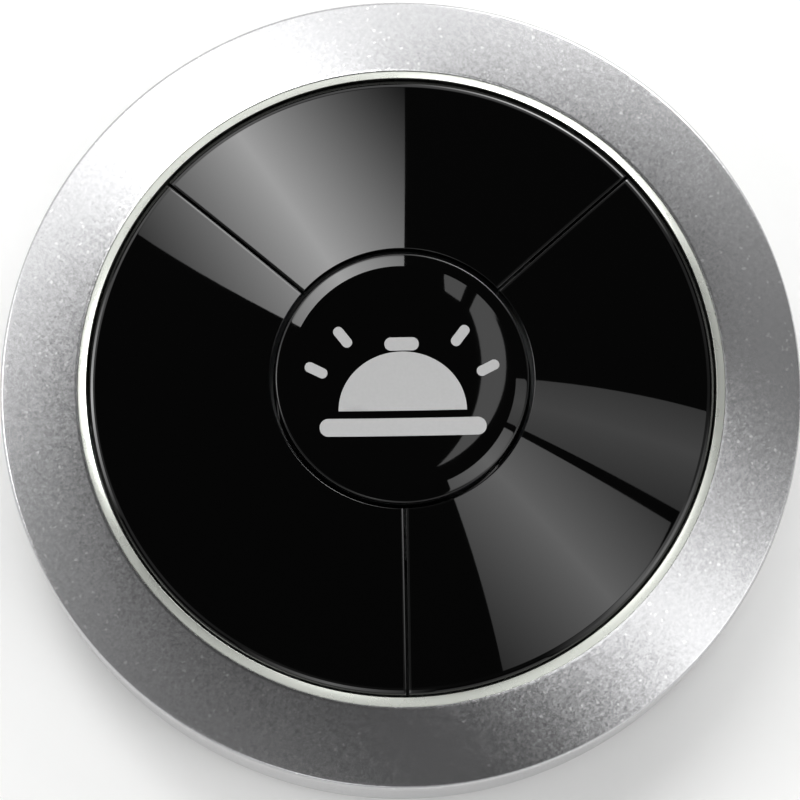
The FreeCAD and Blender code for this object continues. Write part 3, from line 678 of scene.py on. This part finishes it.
def makeButtonCap():
    bm = bmesh.new()
    rounding = cap["edgeRounding"]
    inside = buttonRadius - cap["wall"]
    roofUnder = dishMiddle - cap["roof"]
    rimCentre = domeCentre + cap["proud"]
    roundCentre = buttonRadius - rounding
    roundTilt = math.asin(roundCentre / (dome["radius"] - rounding))
    roundHeight = rimCentre + math.sqrt((dome["radius"] - rounding) ** 2 - roundCentre ** 2)
    flangeTop = capLow.z + cap["flangeThickness"]
    drawOutline(bm, (0, dishMiddle), [
        (0, dishMiddle + dishBend, -math.asin(dishRadius / dishBend), cap["dishSteps"]),
        (0, rimCentre, roundTilt - domeTilt(dishRadius), cap["rimSteps"]),
        (roundCentre, roundHeight, turn / 4 - roundTilt, cap["edgeSteps"]),
        (buttonRadius, flangeTop),
        (capHigh.x, flangeTop),
        (capHigh.x, capLow.z),
        (inside, capLow.z),
        (inside, roofUnder),
        (cap["plungerRadius"], roofUnder),
        (cap["plungerRadius"], capLow.z + cap["plungerDrop"]),
        (0, capLow.z + cap["plungerDrop"]),
    ], closed=False)
    spinOutline(bm)
    piece = finishPiece(
        bm, "buttonCap", capAcrylic, "call_button", "button_black", "call_button_cap"
    )
    # The dish meets the rim in a crisp line
    slack = 0.01 * mm
    for edge in piece.data.edges:
        ends = [piece.data.vertices[i].co for i in edge.vertices]
        if all(abs(math.hypot(p.x, p.y) - dishRadius) < slack and p.z > dishMiddle for p in ends):
            edge.use_edge_sharp = True
    return piece


makeButtonCap()


# Printed bell on the cap: a plain desk bell with sound strokes

bell = {
    "centre": (0.0, -3.5 * mm),      # middle of the bell's flat edge
    "radius": 6.7 * mm,
    "height": 6.3 * mm,
    "baseSize": (17.4 * mm, 1.9 * mm),
    "baseGap": 0.8 * mm,
    "knobSize": (3.6 * mm, 1.4 * mm),
    "knobRise": 0.8 * mm,            # from the bell's top to the middle of its knob
    "strokeSize": (2.5 * mm, 1.1 * mm),
    "strokeRadius": 10.0 * mm,
    "strokeAngles": (26, 52, 128, 154),
    "ink": 0.02 * mm,                # above the cap, and as much is sunk into it
    "pitch": 0.7 * mm,
    "edgeSteps": 96,
    "cornerShare": 0.48,
    "cornerSteps": 8,
}


def addBar(bm, size, at, angle=0.0):
    place = Matrix.Translation((at[0], at[1], 0)) @ Matrix.Rotation(angle, 4, "Z")
    shape = Matrix.Diagonal((size[0], size[1], 1, 1))
    bar = bmesh.ops.create_grid(bm, x_segments=1, y_segments=1, size=0.5, matrix=place @ shape)
    bmesh.ops.bevel(
        bm, geom=bar["verts"], offset=min(size) * bell["cornerShare"], offset_type="OFFSET",
        affect="VERTICES", segments=bell["cornerSteps"], profile=0.5, material=-1,
    )


def makeBellPrint():
    bm = bmesh.new()
    centreX, centreY = bell["centre"]
    oval = Matrix.Translation((centreX, centreY, 0)) @ Matrix.Diagonal(
        (1, bell["height"] / bell["radius"], 1, 1)
    )
    bmesh.ops.create_circle(
        bm, cap_ends=True, segments=bell["edgeSteps"], radius=bell["radius"], matrix=oval
    )
    bmesh.ops.bisect_plane(
        bm, geom=bm.verts[:] + bm.edges[:] + bm.faces[:], plane_co=(0, centreY, 0),
        plane_no=(0, -1, 0), clear_outer=True,
    )
    baseY = centreY - bell["baseGap"] - bell["baseSize"][1] / 2
    knobY = centreY + bell["height"] + bell["knobRise"]
    addBar(bm, bell["baseSize"], (centreX, baseY))
    addBar(bm, bell["knobSize"], (centreX, knobY))
    for angle in map(math.radians, bell["strokeAngles"]):
        reach = bell["strokeRadius"]
        spot = (centreX + reach * math.cos(angle), centreY + reach * math.sin(angle))
        addBar(bm, bell["strokeSize"], spot, angle)
    # Cut into small squares, so that the print follows the dish
    lines = int(buttonRadius / bell["pitch"])
    for n in range(-lines, lines + 1):
        for across in ((1, 0, 0), (0, 1, 0)):
            bmesh.ops.bisect_plane(
                bm, geom=bm.verts[:] + bm.edges[:] + bm.faces[:],
                plane_co=Vector(across) * n * bell["pitch"], plane_no=across,
            )
    for vert in bm.verts:
        vert.co.z = dishHeight(math.hypot(vert.co.x, vert.co.y)) - bell["ink"]
    thick = bmesh.ops.extrude_face_region(bm, geom=bm.faces[:])
    top = [v for v in thick["geom"] if isinstance(v, bmesh.types.BMVert)]
    bmesh.ops.translate(bm, verts=top, vec=(0, 0, 2 * bell["ink"]))
    return finishPiece(bm, "bellPrint", made["paleInk"], "call_button", "button_black")


makeBellPrint()
print("button made")


# The rest of the unit keeps its own shapes and gets its finishes

nodeFinishes = {
    "light_guide_ring": clearPolycarbonate,
    "face_carrier": made["plainAbs"],
    "silicone_keypad": made["milkySilicone"],
    "contact_pill": made["carbonSilicone"],
    "circuit_board": made["solderMask"],
    "key_contact_pads": made["goldFlash"],
    "indicator_leds": made["ledResin"],
    "loop_antenna": made["copperTrace"],
    "encoder_chip": made["mouldedEpoxy"],
    "saw_resonator": made["nickelCan"],
    "rf_transistor": made["mouldedEpoxy"],
    "chip_parts": made["firedCeramic"],
    "battery_holder": made["plainAbs"],
    "battery_negative_contact": made["springStrip"],
    "battery_positive_contact": made["springStrip"],
    "coin_cell": made["satinNickel"],
    "base_cover": made["texturedAbs"],
    "battery_door": made["texturedAbs"],
    "door_seal": made["sealRubber"],
    "housing_seal": made["sealRubber"],
    "rubber_feet": made["matRubber"],
    "base_screws": made["zincPlate"],
    "board_screws": made["zincPlate"],
}


def dressNode(name, material):
    node = nodes[name]
    node.data.materials.clear()
    node.data.materials.append(material)
    for polygon in node.data.polygons:
        polygon.use_smooth = True
    weld = node.modifiers.new("joinFacets", "WELD")
    weld.merge_threshold = shading["weldReach"]
    split = node.modifiers.new("crispEdges", "EDGE_SPLIT")
    split.split_angle = shading["nodeCrease"]


for name, material in nodeFinishes.items():
    dressNode(name, material)
print("inner and lower pieces dressed")


# Stage: pale floor, soft studio light from above, camera over the unit

floor = {
    "colour": "#FAFAF9", "roughness": 0.9, "grain": 1.5, "depth": 0.01,
    "radius": 2400,     # millimetres
    "sides": 64,
    "gap": 0.02,        # millimetres under the feet, so that floor and feet don't share a plane
    "backdrop": 0.09,   # glow that only the camera, gloss and glass see, on top of the real light
}


def makeTableTop():
    # Matt white table top that looks a little lighter than its light makes it
    material, tree, shader = newMaterial("paleTableTop", floor)
    place = addNode(tree, "ShaderNodeTexCoord").outputs["Object"]
    grain = addNode(
        tree, "ShaderNodeTexNoise", {"Scale": perMetre(floor["grain"])}, {"Vector": place}
    )
    bump = addNode(
        tree, "ShaderNodeBump", {"Strength": 1.0, "Distance": floor["depth"] * mm},
        {"Height": grain.outputs["Fac"]},
    )
    tree.links.new(bump.outputs["Normal"], shader.inputs["Normal"])
    path = addNode(tree, "ShaderNodeLightPath")
    seen = path.outputs["Is Camera Ray"]
    for ray in ("Is Glossy Ray", "Is Transmission Ray"):
        seen = addNode(
            tree, "ShaderNodeMath", None, {0: seen, 1: path.outputs[ray]}, operation="ADD",
            use_clamp=True,
        ).outputs[0]
    lift = addNode(
        tree, "ShaderNodeMath", {1: floor["backdrop"]}, {0: seen}, operation="MULTIPLY"
    )
    shader.inputs["Emission Color"].default_value = linear("#FFFFFF")
    tree.links.new(lift.outputs[0], shader.inputs["Emission Strength"])
    # Seen from underneath the table top is clear, so that the base shows
    facing = addNode(tree, "ShaderNodeNewGeometry")
    under = addNode(
        tree, "ShaderNodeMath", None,
        {0: facing.outputs["Backfacing"], 1: path.outputs["Transparent Depth"]}, operation="ADD",
        use_clamp=True,
    )
    clear = addNode(tree, "ShaderNodeBsdfTransparent")
    oneSided = addNode(
        tree, "ShaderNodeMixShader", None,
        {0: under.outputs[0], 1: shader.outputs["BSDF"], 2: clear.outputs["BSDF"]},
    )
    tree.links.new(oneSided.outputs[0], tree.nodes["Material Output"].inputs["Surface"])
    return material


def makeFloor():
    bm = bmesh.new()
    bmesh.ops.create_circle(
        bm, cap_ends=True, segments=floor["sides"], radius=floor["radius"] * mm,
        matrix=Matrix.Translation((0, 0, -floor["gap"] * mm)),
    )
    mesh = bpy.data.meshes.new("tableTop")
    bm.to_mesh(mesh)
    bm.free()
    mesh.materials.append(makeTableTop())
    top = bpy.data.objects.new("tableTop", mesh)
    bpy.context.scene.collection.objects.link(top)


makeFloor()

# Lamps. Their places are in metres and their angles in degrees.

# A level surface mirrors to the camera what lies this far off the vertical, towards the back
mirrorTilt = math.radians(11.07)

# Softboxes are flat panels overhead. Their edges run out from the point that the middle of the
# button mirrors to the camera, so they show in the black face as fans. A fan is brightest along
# one line and fades to both sides of it. Right and left edges each turn a little on the way out.
overhead = {
    "centre": (0.023, 0.231), "height": 1.2, "near": 0.243,
    "fadeReach": 0.54, "fadePower": 2.2, "grid": (24, 8),
}
fans = {
    "backSoftbox": {
        "right": (87.9, 88.1), "left": (151.2, 145.3), "far": 0.85, "line": 119.5, "strength": 8.8,
    },
    "rightSoftbox": {
        "right": (-24.3, -24.3), "left": (-0.6, -3.9), "far": 0.75, "line": -12.5,
        "strength": 1.35,
    },
    "frontSoftbox": {
        "right": (-68.2, -71.7), "left": (-27.5, -27.1), "far": 0.69, "line": -46.5,
        "strength": 3.0,
    },
}
# Small window of light overhead that only the dish shows, as a crescent with a pane beside it
window = {
    "strength": 1.7,
    "outerArc": {"centre": (0.042, 0.216), "radius": 0.138, "from": 219, "to": 114},
    "innerArc": {"centre": (0.107, 0.216), "radius": 0.175, "from": 202, "to": 134.5},
    "crescentGrid": (32, 1),
    "pane": ((-0.027, 0.106), (-0.053, 0.120), (-0.045, 0.140), (-0.028, 0.127)),
    "paneGrid": (2, 2),
}
# Low softboxes round the unit, which catch its bevels and rounded edges. Their angles are taken
# from the line that a level surface mirrors to the camera.
lowRow = {"polar": 58.5, "distance": 1.2, "height": 0.24, "fadePower": 1.2, "grid": (8, 2)}
lowLights = {
    "keySoftbox": {"azimuth": 60, "width": 1.1, "strength": 15.0},
    "leftSoftbox": {"azimuth": 176, "width": 0.95, "strength": 10.0},
    "sideSoftbox": {"azimuth": 330, "width": 1.2, "strength": 3.6},
    "nearSoftbox": {"azimuth": 256, "width": 0.8, "strength": 2.7},
}


# Even light, or light that is strongest on one line through its middle and fades to both sides
def glowMaterial(name, strength, fading=None):
    material = bpy.data.materials.new(name)
    material.use_nodes = True
    tree = material.node_tree
    tree.nodes.clear()
    glow = addNode(tree, "ShaderNodeEmission", {"Strength": strength})
    if fading:
        middle, across, reach, power = fading
        place = addNode(tree, "ShaderNodeTexCoord").outputs["Object"]
        offset = addNode(
            tree, "ShaderNodeVectorMath", {1: middle}, {0: place}, operation="SUBTRACT"
        )
        side = addNode(
            tree, "ShaderNodeVectorMath", {1: across}, {0: offset.outputs[0]},
            operation="DOT_PRODUCT",
        )
        away = addNode(
            tree, "ShaderNodeMath", None, {0: side.outputs["Value"]}, operation="ABSOLUTE"
        )
        share = addNode(
            tree, "ShaderNodeMath", {1: -1 / reach, 2: 1.0}, {0: away.outputs[0]},
            operation="MULTIPLY_ADD", use_clamp=True,
        )
        fall = addNode(
            tree, "ShaderNodeMath", {1: power}, {0: share.outputs[0]}, operation="POWER"
        )
        level = addNode(
            tree, "ShaderNodeMath", {1: strength}, {0: fall.outputs[0]}, operation="MULTIPLY"
        )
        tree.links.new(level.outputs[0], glow.inputs["Strength"])
    addNode(tree, "ShaderNodeOutputMaterial", None, {"Surface": glow.outputs["Emission"]})
    return material


def hangSoftbox(bm, name, material):
    mesh = bpy.data.meshes.new(name)
    bm.to_mesh(mesh)
    bm.free()
    mesh.materials.append(material)
    panel = bpy.data.objects.new(name, mesh)
    panel.visible_camera = False
    bpy.context.scene.collection.objects.link(panel)


# A flat panel overhead, whose points come from their shares of its length and width
def hangOverhead(name, material, grid, place):
    bm = bmesh.new()
    bmesh.ops.create_grid(bm, x_segments=grid[0], y_segments=grid[1], size=0.5)
    for vert in bm.verts:
        vert.co = (*place(vert.co.x + 0.5, vert.co.y + 0.5), overhead["height"])
    hangSoftbox(bm, name, material)


def mixed(start, end, share):
    return start + share * (end - start)


def around(centre, radius, angle):
    turned = math.radians(angle)
    return Vector(centre) + radius * Vector((math.cos(turned), math.sin(turned)))


def makeFans():
    for name, fan in fans.items():
        def place(u, v):
            radius = mixed(overhead["near"], fan["far"], v)
            angle = mixed(mixed(*fan["right"], v), mixed(*fan["left"], v), u)
            return around(overhead["centre"], radius, angle)

        middle = (*overhead["centre"], overhead["height"])
        across = (*around((0, 0), 1, fan["line"] + 90), 0)
        fading = (middle, across, overhead["fadeReach"], overhead["fadePower"])
        glow = glowMaterial(name + "Glow", fan["strength"], fading)
        hangOverhead(name, glow, overhead["grid"], place)


def makeWindow():
    material = glowMaterial("windowGlow", window["strength"])
    corners = [Vector(corner) for corner in window["pane"]]

    def onArc(arc, share):
        return around(arc["centre"], arc["radius"], mixed(arc["from"], arc["to"], share))

    def crescent(u, v):
        return onArc(window["outerArc"], u).lerp(onArc(window["innerArc"], u), v)

    def pane(u, v):
        first, second, third, fourth = corners
        return first.lerp(second, u).lerp(fourth.lerp(third, u), v)

    hangOverhead("windowCrescent", material, window["crescentGrid"], crescent)
    hangOverhead("windowPane", material, window["paneGrid"], pane)


def makeLowLights():
    lean = Matrix.Rotation(-mirrorTilt, 3, "X")
    polar = math.radians(lowRow["polar"])
    for name, light in lowLights.items():
        out = (*around((0, 0), math.sin(polar), light["azimuth"]), math.cos(polar))
        toward = lean @ Vector(out)
        across = lean @ Vector((*around((0, 0), 1, light["azimuth"] + 90), 0))
        middle = toward * lowRow["distance"]
        axes = (across * light["width"], toward.cross(across) * lowRow["height"], toward)
        bm = bmesh.new()
        bmesh.ops.create_grid(
            bm, x_segments=lowRow["grid"][0], y_segments=lowRow["grid"][1], size=0.5,
            matrix=Matrix.Translation(middle) @ Matrix(axes).transposed().to_4x4(),
        )
        fading = (middle, across, light["width"] / 2, lowRow["fadePower"])
        hangSoftbox(bm, name, glowMaterial(name + "Glow", light["strength"], fading))


makeFans()
makeWindow()
makeLowLights()

# Room light: dark above the unit, then two bright bands all round. The upper band lights the
# silver ring and starts outside what the face mirrors. The lower one lights the trim. Stops are
# (azimuth in degrees, level of the upper band, level of the lower band), and the edges of the
# bands are angles from the line that a level surface mirrors to the camera.
room = {
    "dark": 0.016,
    "upperStart": (30.6, 33.0),
    "upperEnd": (57.0, 54.0),
    "lowerStart": (60.5, 64.0),
    "strongest": 2.56,   # a ramp holds levels up to 1, so all are shares of this one
    "stops": (
        (-180, 0.68, 0.64), (-165, 0.42, 0.48), (-150, 0.35, 0.4), (-120, 0.19, 0.6),
        (-90, 0.06, 0.64), (-74, 0.02, 0.68), (-62, 0.03, 0.88), (-50, 0.8, 0.88),
        (-40, 2.56, 0.88), (-28, 1.44, 0.8), (-14, 0.36, 0.48), (0, 0.18, 0.32), (20, 0.31, 0.4),
        (45, 0.5, 0.88), (75, 1.28, 0.96), (105, 1.6, 0.96), (120, 2.56, 0.92), (135, 1.92, 0.92),
        (150, 1.6, 0.88), (165, 1.16, 0.68), (180, 0.68, 0.64),
    ),
}


def fillRamp(ramp, stops):
    ramp.elements[0].position, ramp.elements[1].position = stops[0][0], stops[-1][0]
    for position, level in stops[1:-1]:
        ramp.elements.new(position)
    for element, (position, level) in zip(ramp.elements, stops):
        element.position = position
        element.color = (level, level, level, 1.0)


# Strength of the room's light from a direction
def addBands(tree, toward):
    tipped = addNode(
        tree, "ShaderNodeMapping", {"Rotation": (mirrorTilt, 0.0, 0.0)}, {"Vector": toward}
    )
    axes = addNode(tree, "ShaderNodeSeparateXYZ", None, {"Vector": tipped.outputs["Vector"]})
    azimuth = addNode(
        tree, "ShaderNodeMath", None, {0: axes.outputs["Y"], 1: axes.outputs["X"]},
        operation="ARCTAN2",
    )
    position = addNode(
        tree, "ShaderNodeMapRange", {"From Min": -math.pi, "From Max": math.pi},
        {"Value": azimuth.outputs[0]},
    )
    shares = []
    for edge in ("upperStart", "upperEnd", "lowerStart"):
        begin, full = (math.cos(math.radians(angle)) for angle in room[edge])
        share = addNode(
            tree, "ShaderNodeMapRange", {"From Min": begin, "From Max": full},
            {"Value": axes.outputs["Z"]}, interpolation_type="SMOOTHSTEP",
        )
        shares.append(share.outputs["Result"])
    ramps = []
    for column in (1, 2):
        ramp = addNode(tree, "ShaderNodeValToRGB", None, {"Fac": position.outputs["Result"]})
        ramp.color_ramp.interpolation = "EASE"
        fillRamp(
            ramp.color_ramp,
            [((stop[0] + 180) / 360, stop[column] / room["strongest"]) for stop in room["stops"]],
        )
        ramps.append(ramp.outputs["Color"])
    upperShare = addNode(
        tree, "ShaderNodeMath", None, {0: shares[0], 1: shares[1]}, operation="MULTIPLY"
    )
    upper = addNode(
        tree, "ShaderNodeMath", None, {0: upperShare.outputs[0], 1: ramps[0]},
        operation="MULTIPLY",
    )
    both = addNode(
        tree, "ShaderNodeMath", None, {0: shares[2], 1: ramps[1], 2: upper.outputs[0]},
        operation="MULTIPLY_ADD",
    )
    strength = addNode(
        tree, "ShaderNodeMath", {1: room["strongest"], 2: room["dark"]}, {0: both.outputs[0]},
        operation="MULTIPLY_ADD",
    )
    return strength.outputs[0]


def makeRoom():
    world = bpy.data.worlds.new("studioRoom")
    bpy.context.scene.world = world
    world.use_nodes = True
    tree = world.node_tree
    tree.nodes.clear()
    toward = addNode(tree, "ShaderNodeTexCoord").outputs["Generated"]
    strength = addBands(tree, toward)
    # The camera sees plain white past the floor, and gloss and glass see it below the horizon
    path = addNode(tree, "ShaderNodeLightPath")
    mirrored = addNode(
        tree, "ShaderNodeMath", None,
        {0: path.outputs["Is Glossy Ray"], 1: path.outputs["Is Transmission Ray"]},
        operation="ADD",
    )
    height = addNode(tree, "ShaderNodeSeparateXYZ", None, {"Vector": toward})
    low = addNode(
        tree, "ShaderNodeMath", {1: 0.0}, {0: height.outputs["Z"]}, operation="LESS_THAN"
    )
    white = addNode(
        tree, "ShaderNodeMath", None,
        {0: mirrored.outputs[0], 1: low.outputs[0], 2: path.outputs["Is Camera Ray"]},
        operation="MULTIPLY_ADD", use_clamp=True,
    )
    level = addNode(
        tree, "ShaderNodeMix", {"B": 1.0}, {"Factor": white.outputs[0], "A": strength}
    )
    sky = addNode(
        tree, "ShaderNodeBackground", {"Color": linear("#FFFFFF")},
        {"Strength": level.outputs["Result"]},
    )
    addNode(tree, "ShaderNodeOutputWorld", None, {"Surface": sky.outputs["Background"]})


makeRoom()
bpy.context.scene.view_settings.view_transform = "Standard"

# Camera: distance and aim in metres, angles in degrees, lens and sensor in millimetres
view = {
    "distance": 0.4,
    "tilt": 10.74,
    "azimuth": -5.6,
    "roll": -1.08,
    "aim": (0.0001, 0.00145, 0.0),
    "lens": 163.6,
    "sensor": 36.0,
}


def makeCamera():
    data = bpy.data.cameras.new("photoCamera")
    data.lens = view["lens"]
    data.sensor_width = view["sensor"]
    camera = bpy.data.objects.new("photoCamera", data)
    bpy.context.scene.collection.objects.link(camera)
    tilt, azimuth, roll = (math.radians(view[k]) for k in ("tilt", "azimuth", "roll"))
    back = Vector((
        math.sin(azimuth) * math.sin(tilt), -math.cos(azimuth) * math.sin(tilt), math.cos(tilt)
    ))
    right = Vector((0, 1, 0)).cross(back).normalized()
    up = back.cross(right)
    columns = (
        right * math.cos(roll) + up * math.sin(roll),
        up * math.cos(roll) - right * math.sin(roll),
        back,
    )
    camera.matrix_world = Matrix.Translation(
        Vector(view["aim"]) + back * view["distance"]
    ) @ Matrix(columns).transposed().to_4x4()
    bpy.context.scene.camera = camera


makeCamera()
print("stage, light and camera made")
